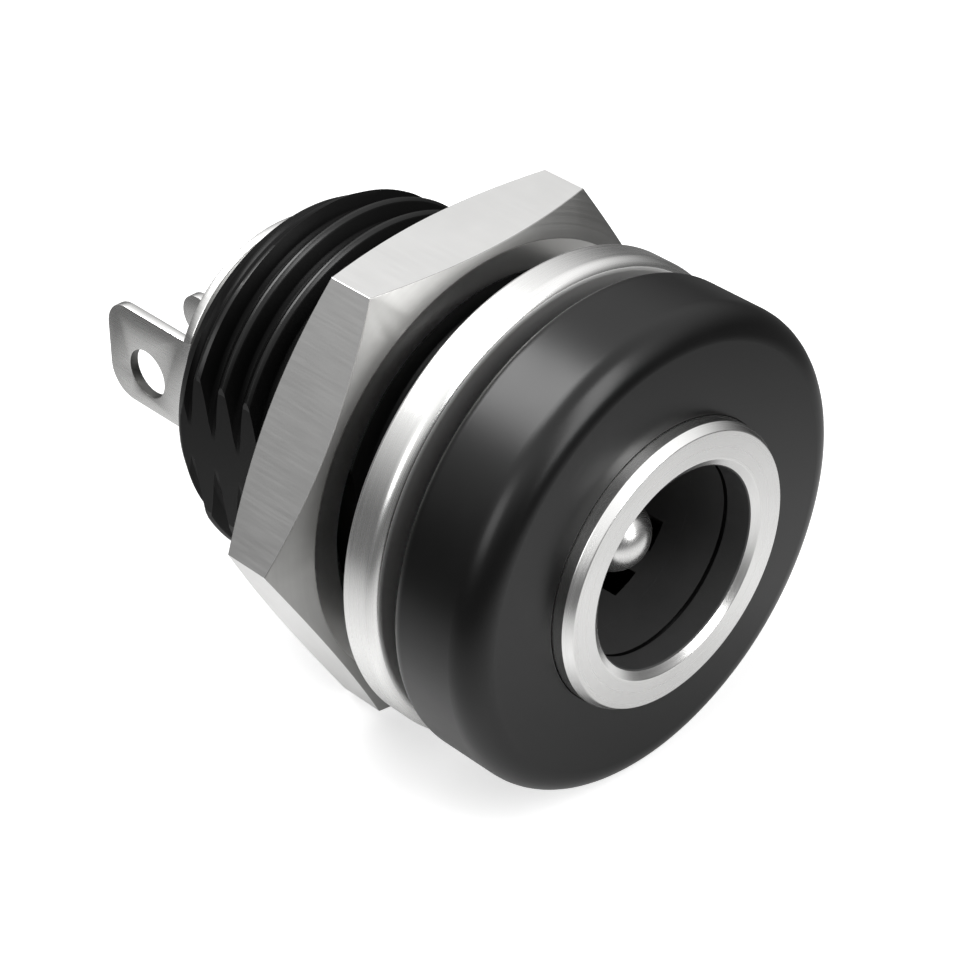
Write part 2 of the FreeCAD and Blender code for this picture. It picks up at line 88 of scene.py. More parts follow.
class Graph:
    """Adds nodes to one material and links them."""

    def __init__(self, name: str) -> None:
        """Start a material with a bare surface shader.

        Args:
            name: the material's name.
        """
        self.material = bpy.data.materials.new(name)
        self.material.use_nodes = True
        self.nodes = self.material.node_tree.nodes
        self.shader = self.nodes["Principled BSDF"]
        self.place = self.node("ShaderNodeTexCoord").outputs["Object"]

    def node(self, kind: str, **settings: object) -> bpy.types.Node:
        """Add a node.

        Args:
            kind: the node's type.
            settings: attributes to set on it.

        Returns:
            The new node.
        """
        made = self.nodes.new(kind)
        for key, value in settings.items():
            setattr(made, key, value)
        return made

    def link(self, source: bpy.types.NodeSocket, target: bpy.types.NodeSocket) -> None:
        """Link an output to an input."""
        self.material.node_tree.links.new(source, target)

    def set(self, **values: object) -> None:
        """Set the shader's own sockets, with underscores for the spaces in their names."""
        for key, value in values.items():
            self.shader.inputs[key.replace("_", " ")].default_value = value

    def scaled(self, source: bpy.types.NodeSocket, scale: Sequence[float]) -> bpy.types.NodeSocket:
        """Stretch a coordinate.

        Args:
            source: the coordinate.
            scale: cycles per millimetre along X, Y and Z.

        Returns:
            The stretched coordinate.
        """
        mapping = self.node("ShaderNodeMapping")
        mapping.inputs["Scale"].default_value = [s / MM for s in scale]
        self.link(source, mapping.inputs["Vector"])
        return mapping.outputs["Vector"]

    def noise(self, source: bpy.types.NodeSocket, detail: float = 2.0,
              roughness: float = 0.5) -> bpy.types.NodeSocket:
        """Noise between 0 and 1 that follows a coordinate.

        Args:
            source: the coordinate, already scaled.
            detail: how many finer layers lie on the coarse one.
            roughness: how strong the finer layers are.

        Returns:
            The noise value.
        """
        made = self.node("ShaderNodeTexNoise")
        made.inputs["Scale"].default_value = 1.0
        made.inputs["Detail"].default_value = detail
        made.inputs["Roughness"].default_value = roughness
        self.link(source, made.inputs["Vector"])
        return made.outputs["Fac"]

    def spread(self, value: bpy.types.NodeSocket, low: float, high: float,
               start: float = 0.3, end: float = 0.7) -> bpy.types.NodeSocket:
        """Map a value between start and end onto low to high.

        Args:
            value: the value to map.
            low: the result at start.
            high: the result at end.
            start: where the ramp begins.
            end: where the ramp ends.

        Returns:
            The mapped value.
        """
        ramp = self.node("ShaderNodeMapRange")
        ramp.inputs["From Min"].default_value = start
        ramp.inputs["From Max"].default_value = end
        ramp.inputs["To Min"].default_value = low
        ramp.inputs["To Max"].default_value = high
        self.link(value, ramp.inputs["Value"])
        return ramp.outputs["Result"]

    def blend(self, factor: bpy.types.NodeSocket, first: Colour, second: Colour) -> bpy.types.NodeSocket:
        """Blend two colours by a factor."""
        mix = self.node("ShaderNodeMix", data_type="RGBA")
        ends = [s for s in mix.inputs if s.type == "RGBA"]
        for end, colour in zip(ends, (first, second)):
            end.default_value = colour
        self.link(factor, mix.inputs["Factor"])
        return next(s for s in mix.outputs if s.type == "RGBA")

    def round_place(self) -> bpy.types.NodeSocket:
        """The coordinate (distance from the axis, place along the axis, 0)."""
        split = self.node("ShaderNodeSeparateXYZ")
        self.link(self.place, split.inputs[0])
        across = self.node("ShaderNodeCombineXYZ")
        self.link(split.outputs["X"], across.inputs["X"])
        self.link(split.outputs["Z"], across.inputs["Z"])
        length = self.node("ShaderNodeVectorMath", operation="LENGTH")
        self.link(across.outputs[0], length.inputs[0])
        joined = self.node("ShaderNodeCombineXYZ")
        self.link(length.outputs["Value"], joined.inputs["X"])
        self.link(split.outputs["Y"], joined.inputs["Y"])
        return joined.outputs[0]

    def relief(self, height: bpy.types.NodeSocket, depth: float) -> bpy.types.NodeSocket:
        """Turn a height into a bump.

        Args:
            height: a value between 0 and 1.
            depth: the relief's depth in millimetres.

        Returns:
            The bumped normal.
        """
        bump = self.node("ShaderNodeBump")
        bump.inputs["Strength"].default_value = 1.0
        bump.inputs["Distance"].default_value = depth * MM
        self.link(height, bump.inputs["Height"])
        return bump.outputs["Normal"]


@dataclass(frozen=True)
class MouldedPlastic:
    """A dark moulded plastic with a faint grain."""

    name: str
    dark: Colour
    pale: Colour
    roughness: float
    roughness_spread: float
    grain_depth: float
    specular: float

    def material(self) -> bpy.types.Material:
        """Build the material."""
        g = Graph(self.name)
        cloudy = g.noise(g.scaled(g.place, (0.45, 0.45, 0.45)), detail=3.0)
        fine = g.noise(g.scaled(g.place, (9.0, 9.0, 9.0)))
        g.link(g.blend(g.spread(cloudy, 0.0, 1.0), self.dark, self.pale), g.shader.inputs["Base Color"])
        low = self.roughness - self.roughness_spread
        high = self.roughness + self.roughness_spread
        g.link(g.spread(cloudy, low, high), g.shader.inputs["Roughness"])
        g.link(g.relief(fine, self.grain_depth), g.shader.inputs["Normal"])
        g.set(Metallic=0.0, Specular_IOR_Level=self.specular)
        return g.material


@dataclass(frozen=True)
class PlatedMetal:
    """A satin plated metal with fine tool marks."""

    name: str
    base: Colour
    tarnish: Colour
    roughness: float
    roughness_spread: float
    mark_depth: float
    grain: Grain

    def marks(self, g: Graph) -> bpy.types.NodeSocket:
        """The height of the tool marks.

        Args:
            g: the material's graph.

        Returns:
            A value between 0 and 1.
        """
        if self.grain is Grain.TURNED:
            return g.noise(g.scaled(g.round_place(), (14.0, 14.0, 0.0)), detail=3.0, roughness=0.6)
        if self.grain is Grain.DRAWN:
            return g.noise(g.scaled(g.place, (12.0, 0.6, 12.0)))
        return g.noise(g.scaled(g.place, (8.0, 1.0, 20.0)))

    def material(self) -> bpy.types.Material:
        """Build the material."""
        g = Graph(self.name)
        marks = self.marks(g)
        cloudy = g.noise(g.scaled(g.place, (0.6, 0.6, 0.6)), detail=3.0)
        g.link(g.blend(g.spread(cloudy, 0.0, 1.0), self.base, self.tarnish), g.shader.inputs["Base Color"])
        low = self.roughness - self.roughness_spread
        high = self.roughness + self.roughness_spread
        g.link(g.spread(marks, low, high), g.shader.inputs["Roughness"])
        g.link(g.relief(marks, self.mark_depth), g.shader.inputs["Normal"])
        g.set(Metallic=1.0)
        return g.material


NICKEL: Colour = (0.86, 0.857, 0.847, 1.0)
NICKEL_DULL: Colour = (0.82, 0.817, 0.807, 1.0)
# Darker nickel for the nut's turned cones and the rounds beside them: painted shade that dims their
# highlights.
CONE_SHADE: Colour = (0.38, 0.378, 0.37, 1.0)
CONE_SHADE_DULL: Colour = (0.34, 0.338, 0.33, 1.0)
# A dark nickel for the tags' hole walls and for a band at the disc's rear edge.
DARK_EDGE: Colour = (0.16, 0.16, 0.155, 1.0)
DARK_EDGE_DULL: Colour = (0.1, 0.1, 0.097, 1.0)
BRONZE: Colour = (0.6, 0.52, 0.38, 1.0)
BRONZE_DULL: Colour = (0.5, 0.42, 0.3, 1.0)

JET = grey(0.0018)
JET_PALE = grey(0.003)

BLACK_MOULDING = MouldedPlastic("satin_black_moulding", JET, JET_PALE, 0.3, 0.025, 0.0004, 0.37)
# Black moulding with a low specular level for the thread's flanks: painted shade in the grooves.
THREAD_FLANK_SHADE = MouldedPlastic("thread_flank_painted_shade", JET, JET_PALE, 0.35, 0.025, 0.0004, 0.12)
# A dark matt grey for the liner and bush, also laid on the ring's nickel bore wall as painted shade.
DARK_LINER_AND_RING_SHADE = MouldedPlastic("matt_dark_liner_and_ring_shade", grey(0.045), grey(0.055), 0.5, 0.04, 0.0006, 0.4)
TURNED_NICKEL = PlatedMetal("turned_nickel", NICKEL, NICKEL_DULL, 0.26, 0.03, 0.0004, Grain.TURNED)
FACED_NICKEL = PlatedMetal("faced_nickel", NICKEL, NICKEL_DULL, 0.5, 0.04, 0.0004, Grain.TURNED)
CONE_SHADE_NICKEL = PlatedMetal("nickel_cone_painted_shade", CONE_SHADE, CONE_SHADE_DULL, 0.42, 0.04, 0.0004, Grain.TURNED)
DARK_EDGE_NICKEL = PlatedMetal("dark_edge_nickel", DARK_EDGE, DARK_EDGE_DULL, 0.42, 0.04, 0.0003, Grain.ROLLED)
BAR_NICKEL = PlatedMetal("bar_nickel", NICKEL, NICKEL_DULL, 0.3, 0.025, 0.00005, Grain.DRAWN)
SHEET_NICKEL = PlatedMetal("sheet_nickel", NICKEL, NICKEL_DULL, 0.27, 0.03, 0.0002, Grain.ROLLED)
POLISHED_NICKEL = PlatedMetal("polished_nickel", NICKEL, NICKEL_DULL, 0.27, 0.03, 0.0002, Grain.TURNED)
SPRING_BRONZE = PlatedMetal("rolled_bronze", BRONZE, BRONZE_DULL, 0.3, 0.04, 0.0008, Grain.ROLLED)


@dataclass(frozen=True)
class Outline:
    """A closed (radius, y) outline whose corners can be rounded."""

    corners: Sequence[Corner]
    arc_steps: int = 4
    guard: float = 0.03

    def points(self) -> list[Point]:
        """The outline with its round corners worked out.

        Returns:
            Points in order, with one close to each end of each arc, so that flat faces shade flat.
        """
        made: list[Point] = []
        count = len(self.corners)
        for i, (radius, y, rounding) in enumerate(self.corners):
            here = Vector((radius, y))
            before = Vector(self.corners[i - 1][:2]) - here
            after = Vector(self.corners[(i + 1) % count][:2]) - here
            made += self.corner(here, before, after, rounding)
        return made

    def corner(self, here: Vector, before: Vector, after: Vector, rounding: float) -> list[Point]:
        """One corner's points.

        Args:
            here: the sharp corner.
            before: the way back to the last corner.
            after: the way on to the next corner.
            rounding: the corner's radius, or 0.

        Returns:
            The corner itself, or an arc between its two sides.
        """
        if rounding <= 0:
            return [tuple(here)]
        a, b = before.normalized(), after.normalized()
        half = a.angle(b) / 2
        reach = rounding / math.tan(half)
        centre = here + (a + b).normalized() * rounding / math.sin(half)
        first = here + a * reach
        last = here + b * reach
        sweep = (first - centre).angle_signed(last - centre)
        arc = []
        for k in range(self.arc_steps + 1):
            turned = (first - centre).copy()
            turned.rotate(Matrix.Rotation(-sweep * k / self.arc_steps, 2))
            arc.append(tuple(centre + turned))
        ahead = [tuple(first + a * self.guard)] if before.length > reach + 2 * self.guard else []
        behind = [tuple(last + b * self.guard)] if after.length > reach + 2 * self.guard else []
        return ahead + arc + behind


@dataclass(frozen=True)
class Thread:
    """A right-handed thread about the axis, as an open skin."""

    valley: float
    peak: float
    valley_land: float
    peak_land: float
    pitch: float
    valley_at_right: float
    front: float
    rear: float
    edge_round: float = 0.06
    steps: int = 144
    flank_steps: int = 5

    def profile(self) -> list[Point]:
        """One pitch of (radius, offset) points, from the middle of a valley."""
        flank = (self.pitch - self.valley_land - self.peak_land) / 2
        depth = self.peak - self.valley
        low_end = self.valley_land / 2
        high_start = low_end + flank
        high_end = high_start + self.peak_land
        points = [(self.valley, 0.0), (self.valley, low_end - self.edge_round)]
        up = []
        for k in range(self.flank_steps + 1):
            share = k / self.flank_steps
            share = min(max(share, self.edge_round / depth), 1 - self.edge_round / depth)
            up.append((self.valley + depth * share, low_end + flank * share))
        points += up
        points += [(self.peak, high_start + self.edge_round), (self.peak, high_end - self.edge_round)]
        points += [(radius, self.pitch - offset) for radius, offset in reversed(up)]
        points.append((self.valley, self.pitch - low_end + self.edge_round))
        return points

    def skin(self, bm: bmesh.types.BMesh) -> None:
        """Sweep the profile round the axis and trim it between front and rear.

        Args:
            bm: an empty mesh that takes the skin.
        """
        first = math.floor(self.front - self.valley_at_right) - 1
        last = math.ceil(self.rear - self.valley_at_right) + 1
        chain = [
            bm.verts.new((radius, self.valley_at_right + turn * self.pitch + offset, 0))
            for turn in range(first, last)
            for radius, offset in self.profile()
        ]
        edges = [bm.edges.new(pair) for pair in zip(chain, chain[1:])]
        step = AXIS * (self.pitch / self.steps)
        bmesh.ops.spin(bm, geom=chain + edges, cent=(0, 0, 0), axis=AXIS, dvec=step, angle=FULL_TURN,
                       space=Matrix.Identity(4), steps=self.steps, use_merge=False,
                       use_normal_flip=False, use_duplicate=False)
        bmesh.ops.remove_doubles(bm, verts=bm.verts, dist=WELD)
        for y, way in ((self.front, -1), (self.rear, 1)):
            bmesh.ops.bisect_plane(bm, geom=bm.verts[:] + bm.edges[:] + bm.faces[:], dist=WELD,
                                   plane_co=AXIS * y, plane_no=AXIS * way, clear_outer=True)


def off_axis(place: Vector) -> float:
    """How far a place lies from the axis."""
    return math.hypot(place.x, place.z)


def set_distance(v: bmesh.types.BMVert, radius: float) -> None:
    """Move a vertex straight out from the axis, or in, to a radius."""
    share = radius / off_axis(v.co)
    v.co.x *= share
    v.co.z *= share


def rim(bm: bmesh.types.BMesh, y: float) -> list[bmesh.types.BMEdge]:
    """The open edges that lie in the plane at y."""
    return [e for e in bm.edges if e.is_boundary and all(abs(v.co.y - y) < 2 * WELD for v in e.verts)]


def pull(bm: bmesh.types.BMesh, edges: list[bmesh.types.BMEdge], stops: Sequence[Point],
         ) -> list[bmesh.types.BMEdge]:
    """Extrude a rim from stop to stop.

    Args:
        bm: the mesh.
        edges: the rim.
        stops: the (radius, y) places it goes through.

    Returns:
        The new rim.
    """
    for radius, y in stops:
        made = bmesh.ops.extrude_edge_only(bm, edges=edges)["geom"]
        edges = [e for e in made if isinstance(e, bmesh.types.BMEdge) and e.is_boundary]
        for v in {v for e in edges for v in e.verts}:
            set_distance(v, radius)
            v.co.y = y
    return edges


def spun(points: Sequence[Point], steps: int) -> bmesh.types.BMesh:
    """Turn a closed outline about the axis.

    Args:
        points: (radius, y) places in order.
        steps: how many steps make the turn.

    Returns:
        A closed mesh.
    """
    bm = bmesh.new()
    chain = [bm.verts.new((radius, y, 0)) for radius, y in points]
    edges = [bm.edges.new(pair) for pair in zip(chain, chain[1:] + chain[:1])]
    bmesh.ops.spin(bm, geom=chain + edges, cent=(0, 0, 0), axis=AXIS, dvec=(0, 0, 0), angle=FULL_TURN,
                   space=Matrix.Identity(4), steps=steps, use_merge=True, use_normal_flip=False,
                   use_duplicate=False)
    bmesh.ops.remove_doubles(bm, verts=bm.verts, dist=WELD)
    bmesh.ops.recalc_face_normals(bm, faces=bm.faces)
    return bm


def finished(bm: bmesh.types.BMesh, name: str) -> bpy.types.Object:
    """Bring a mesh to metres and make it an object.

    Args:
        bm: the mesh in millimetres; it is freed.
        name: the object's name.

    Returns:
        The object, linked to the scene.
    """
    bmesh.ops.scale(bm, vec=(MM, MM, MM), verts=bm.verts)
    mesh = bpy.data.meshes.new(name)
    bm.to_mesh(mesh)
    bm.free()
    mesh.shade_smooth()
    mesh.set_sharp_from_angle(angle=SMOOTH_BELOW)
    made = bpy.data.objects.new(name, mesh)
    bpy.context.scene.collection.objects.link(made)
    return made


def joined(first: bmesh.types.BMesh, second: bmesh.types.BMesh) -> bmesh.types.BMesh:
    """Add the second mesh to the first one and free it."""
    spare = bpy.data.meshes.new("spare")
    second.to_mesh(spare)
    second.free()
    first.from_mesh(spare)
    bpy.data.meshes.remove(spare)
    return first


def dressed(piece: bpy.types.Object, finish: object, slot: Slot, body: Body, *nodes: str) -> bpy.types.Object:
    """Give a new piece its finish, its body and the nodes that it stands for.

    Args:
        piece: the piece.
        finish: a finish with a material method.
        slot: the record's material slot; not used.
        body: the body it rides on.
        nodes: the nodes it replaces.

    Returns:
        The same piece.
    """
    piece.data.materials.clear()
    piece.data.materials.append(shared(finish))
    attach(piece, body.value)
    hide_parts(*nodes)
    log.info("%s: %d faces, for %s", piece.name, len(piece.data.polygons), ", ".join(nodes))
    return piece


def shared(finish: object) -> bpy.types.Material:
    """The finish's material, built once."""
    return bpy.data.materials.get(finish.name) or finish.material()


def faced(piece: bpy.types.Object, finish: object, picks: Callable[[Vector, Vector], bool]) -> None:
    """Give some faces of a dressed piece another finish.

    Args:
        piece: the piece.
        finish: a finish with a material method.
        picks: told a face's middle in millimetres and its normal, it says whether the face is one.
    """
    piece.data.materials.append(shared(finish))
    last = len(piece.data.materials) - 1
    for face in piece.data.polygons:
        if picks(face.center / MM, face.normal):
            face.material_index = last


def repainted(node: str, finish: object) -> None:
    """Give a node that stays as it is a finish.

    Args:
        node: the node's name.
        finish: a finish with a material method.
    """
    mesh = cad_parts[node].data
    mesh.materials.clear()
    mesh.materials.append(shared(finish))
    log.info("%s keeps its shape", node)


@dataclass
class Housing:
    """The black moulding: a round head and a threaded barrel with two flats."""

    head_radius: float = 7.05
    head_front: float = -2.95
    shoulder: float = 0.8
    rear_round: float = 0.38
    neck_radius: float = 5.09
    neck_length: float = 1.0
    bore_radius: float = 2.94
    pocket_radius: float = 4.15
    pocket_front: float = -1.3
    ring_seat: float = -2.49
    ring_recess: float = 4.17
    barrel_end: float = 10.57
    end_radius: float = 5.03
    lead_in: float = 1.1
    flat: float = 5.12
    thread: Thread = Thread(5.15, 5.65, 0.24, 0.18265, 1.0, 9.45, 1.0, 10.57)

    def head(self) -> bmesh.types.BMesh:
        """The head with its bore and the neck behind it."""
        overlap = 0.05
        return spun(Outline([
            (self.bore_radius, self.ring_seat, 0),
            (self.bore_radius, self.pocket_front, 0),
            (self.pocket_radius, self.pocket_front, 0),
            (self.pocket_radius, self.neck_length + overlap, 0),
            (self.neck_radius, self.neck_length + overlap, 0),
            (self.neck_radius, 0, 0),
            (self.head_radius, 0, self.rear_round),
            (self.head_radius, self.head_front, self.shoulder),
            (self.ring_recess, self.head_front, 0.04),
            (self.ring_recess, self.ring_seat, 0),
        ], arc_steps=10).points(), 256)

    def barrel(self) -> bmesh.types.BMesh:
        """The threaded tube, trimmed by the lead-in cone and the two flats."""
        bm = bmesh.new()
        self.thread.skin(bm)
        slope = (self.thread.peak - self.end_radius) / self.lead_in
        for v in bm.verts:
            limit = self.end_radius + slope * (self.barrel_end - v.co.y)
            if off_axis(v.co) > limit:
                set_distance(v, limit)
        for side in (-1, 1):
            geometry = bm.verts[:] + bm.edges[:] + bm.faces[:]
            bmesh.ops.bisect_plane(bm, geom=geometry, dist=WELD, plane_co=(side * self.flat, 0, 0),
                                   plane_no=(side, 0, 0))
            for v in bm.verts:
                if v.co.x * side > self.flat:
                    v.co.x = side * self.flat
        bore_chamfer = 0.08
        front = pull(bm, rim(bm, self.neck_length), [(self.pocket_radius, self.neck_length)])
        rear = pull(bm, rim(bm, self.barrel_end), [
            (self.pocket_radius + bore_chamfer, self.barrel_end),
            (self.pocket_radius, self.barrel_end - bore_chamfer),
        ])
        bmesh.ops.bridge_loops(bm, edges=front + rear)
        bmesh.ops.recalc_face_normals(bm, faces=bm.faces)
        return bm

    def is_flank(self, middle: Vector, _: Vector) -> bool:
        """Whether a face lies well below the thread's crests and well outside the pocket."""
        crest_depth, wall = 0.07, 0.5
        in_thread = self.pocket_radius + wall < off_axis(middle) < self.thread.peak - crest_depth
        return middle.y > self.thread.front and in_thread

    def build(self) -> None:
        """Make the moulding and dress it."""
        piece = dressed(finished(joined(self.head(), self.barrel()), "housing_moulding"),
                        BLACK_MOULDING, Slot.MOULDING, Body.SOCKET, "housing")
        faced(piece, DARK_LINER_AND_RING_SHADE, lambda middle, _: off_axis(middle) < self.bore_radius + HAIR)
        # The flanks reflect less than the crests: painted shade in the thread's grooves.
        faced(piece, THREAD_FLANK_SHADE, self.is_flank)


@dataclass
class Mouth:
    """What shows in the mouth: the bright ring, the dark liner, the pin and the spring's prongs."""

    ring_radius: float = 4.16
    ring_face: float = -3.55
    ring_back: float = -2.49
    edge_across: float = 0.15
    edge_deep: float = 0.26
    mouth_across: float = 0.26
    mouth_deep: float = 0.17
    seam_deep: float = 0.12
    seam_wide: float = 0.13
    bore_radius: float = 2.94
    pin_radius: float = 1.05
    pin_tip: float = -2.2
    plug_floor: float = 6.4
    shank_radius: float = 0.85
    collar_front: float = 8.8
    collar_rear: float = 9.8
    collar_radius: float = 1.5
    tail_radius: float = 0.4
    tail_end: float = 12.6
    rivet_radius: float = 0.53
    rivet_height: float = 0.25

    def ring(self) -> None:
        """The ring pressed into the head."""
        soft = 0.035
        outline = Outline([
            (self.bore_radius + self.mouth_across, self.ring_face, soft),
            (self.ring_radius - self.edge_across, self.ring_face, soft),
            (self.ring_radius, self.ring_face + self.edge_deep, soft),
            (self.ring_radius, self.ring_back, 0),
            (self.bore_radius + self.seam_deep, self.ring_back, 0),
            (self.bore_radius + self.seam_deep, self.ring_back - self.seam_wide, 0),
            (self.bore_radius, self.ring_back - self.seam_wide, 0),
            (self.bore_radius, self.ring_face + self.mouth_deep, soft),
        ])
        piece = dressed(finished(spun(outline.points(), 256), "mouth_ring_turned"),
                        TURNED_NICKEL, Slot.PLATE, Body.SOCKET, "mouth_ring")
        # The ring's nickel bore wall takes the dark liner grey: painted shade inside the mouth.
        faced(piece, DARK_LINER_AND_RING_SHADE, lambda middle, _: off_axis(middle) < self.bore_radius + soft)
        # The notch behind the ring's bore takes the black moulding: painted shade in the gap between ring and
        # head.
        seam_front = self.ring_back - self.seam_wide - HAIR
        seam_floor = self.bore_radius + self.seam_deep + HAIR
        faced(piece, BLACK_MOULDING,
              lambda middle, _: middle.y > seam_front and off_axis(middle) < seam_floor)

    def pin(self) -> None:
        """The domed centre pin, with its collar, tail and rivet head."""
        dome = self.pin_radius * 0.98
        rivet_rear = self.tail_end + self.rivet_height
        outline = Outline([
            (0, self.pin_tip, 0),
            (self.pin_radius, self.pin_tip, dome),
            (self.pin_radius, self.plug_floor, 0),
            (self.shank_radius, self.plug_floor, 0),
            (self.shank_radius, self.collar_front, 0),
            (self.collar_radius, self.collar_front, 0.05),
            (self.collar_radius, self.collar_rear, 0.05),
            (self.tail_radius, self.collar_rear, 0),
            (self.tail_radius, self.tail_end, 0),
            (self.rivet_radius, self.tail_end, 0.03),
            (self.rivet_radius, rivet_rear, 0.14),
            (0, rivet_rear, 0),
        ], arc_steps=14, guard=0.01)
        dressed(finished(spun(outline.points(), 96), "centre_pin_turned"), POLISHED_NICKEL, Slot.PLATE,
                Body.SOCKET, "centre_pin")

    def build(self) -> None:
        """Make the pieces of the mouth."""
        self.ring()
        self.pin()
        repainted("contact_carrier", DARK_LINER_AND_RING_SHADE)
        repainted("sleeve_spring", SPRING_BRONZE)


@dataclass
class RearContacts:
    """The disc behind the barrel, the two solder tags and the bush between them."""

    plate_radius: float = 4.1
    plate_front: float = 10.2
    plate_rear: float = 11.55
    plate_edge: float = 0.08
    break_wide: float = 0.09
    hub_hole: float = 1.02
    bush_front: float = 9.8
    bush_step: float = 11.85
    bush_rear: float = 12.3
    bush_hub: float = 1.0
    bush_flange: float = 2.1
    tail_hole: float = 0.42
    tag_edge: float = 0.035
    hole_y: float = 13.75
    hole_z: float = -0.35
    hole_radius: float = 0.75

    def disc(self) -> None:
        """The bright disc, with a dark band along its rear edge."""
        inside = self.plate_radius - self.plate_edge
        rim_end = self.plate_rear - self.plate_edge
        band = rim_end - self.break_wide
        outline = Outline([
            (self.hub_hole, self.plate_front, 0),
            (self.plate_radius, self.plate_front, 0.03),
            (self.plate_radius, band, 0),
            (self.plate_radius, rim_end, 0),
            (inside, self.plate_rear, 0),
            (self.hub_hole, self.plate_rear, 0.03),
        ])
        piece = dressed(finished(spun(outline.points(), 192), "rear_disc_turned"),
                        TURNED_NICKEL, Slot.PLATE, Body.SOCKET, "rear_plate")
        # The rim's last band before the rear edge takes the dark nickel.
        faced(piece, DARK_EDGE_NICKEL, lambda middle, _: middle.y > band and off_axis(middle) > inside)

    def bush(self) -> None:
        """The insulating bush."""
        outline = Outline([
            (self.tail_hole, self.bush_front, 0),
            (self.bush_hub, self.bush_front, 0),
            (self.bush_hub, self.bush_step, 0),
            (self.bush_flange, self.bush_step, 0.03),
            (self.bush_flange, self.bush_rear, 0.12),
            (self.tail_hole, self.bush_rear, 0.03),
        ])
        dressed(finished(spun(outline.points(), 96), "pin_bush_moulded"), DARK_LINER_AND_RING_SHADE, Slot.INSULATOR,
                Body.SOCKET, "pin_bush")

    def is_hole_wall(self, middle: Vector, normal: Vector) -> bool:
        """Whether a face of a tag is in the wall of its wire hole."""
        from_hole = math.hypot(middle.y - self.hole_y, middle.z - self.hole_z)
        side_on = 0.9
        return from_hole < self.hole_radius + self.tag_edge and abs(normal.x) < side_on

    def tag(self, node: str, name: str) -> None:
        """A tag with its stamped edges softened.

        Args:
            node: the node whose shape it takes.
            name: the new piece's name.
        """
        bm = bmesh.new()
        bm.from_mesh(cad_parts[node].data)
        bmesh.ops.scale(bm, vec=(1 / MM, 1 / MM, 1 / MM), verts=bm.verts)
        bmesh.ops.remove_doubles(bm, verts=bm.verts, dist=WELD)
        level = math.radians(0.5)
        bmesh.ops.dissolve_limit(bm, angle_limit=level, verts=bm.verts, edges=bm.edges)
        sharp = [e for e in bm.edges if e.is_manifold and e.calc_face_angle() > SMOOTH_BELOW]
        bmesh.ops.bevel(bm, geom=sharp, offset=self.tag_edge, segments=2, profile=0.5, affect="EDGES",
                        material=-1, clamp_overlap=True)
        piece = dressed(finished(bm, name), SHEET_NICKEL, Slot.PLATE, Body.SOCKET, node)
        faced(piece, DARK_EDGE_NICKEL, self.is_hole_wall)

    def build(self) -> None:
        """Make the rear pieces."""
        self.disc()
        self.bush()
        self.tag("sleeve_tag", "sleeve_tag_stamped")
        self.tag("tip_tag", "tip_tag_stamped")


@dataclass
class Washer:
    """The flat washer, stamped, so its front edge is rounder than its rear one."""

    radius: float = 7.06
    hole: float = 5.8
    front: float = 0.6
    rear: float = 1.75
    front_round: float = 0.35
    rear_round: float = 0.12

    def build(self) -> None:
        """Make the washer and dress it."""
        soft = 0.05
        outline = Outline([
            (self.hole, self.front, soft),
            (self.radius, self.front, self.front_round),
            (self.radius, self.rear, self.rear_round),
            (self.hole, self.rear, soft),
        ], arc_steps=8)
        piece = dressed(finished(spun(outline.points(), 256), "flat_washer_stamped"),
                        TURNED_NICKEL, Slot.PLATE, Body.WASHER, "flat_washer")
        square_on = 0.95
        faced(piece, FACED_NICKEL, lambda _, normal: normal.y < -square_on)


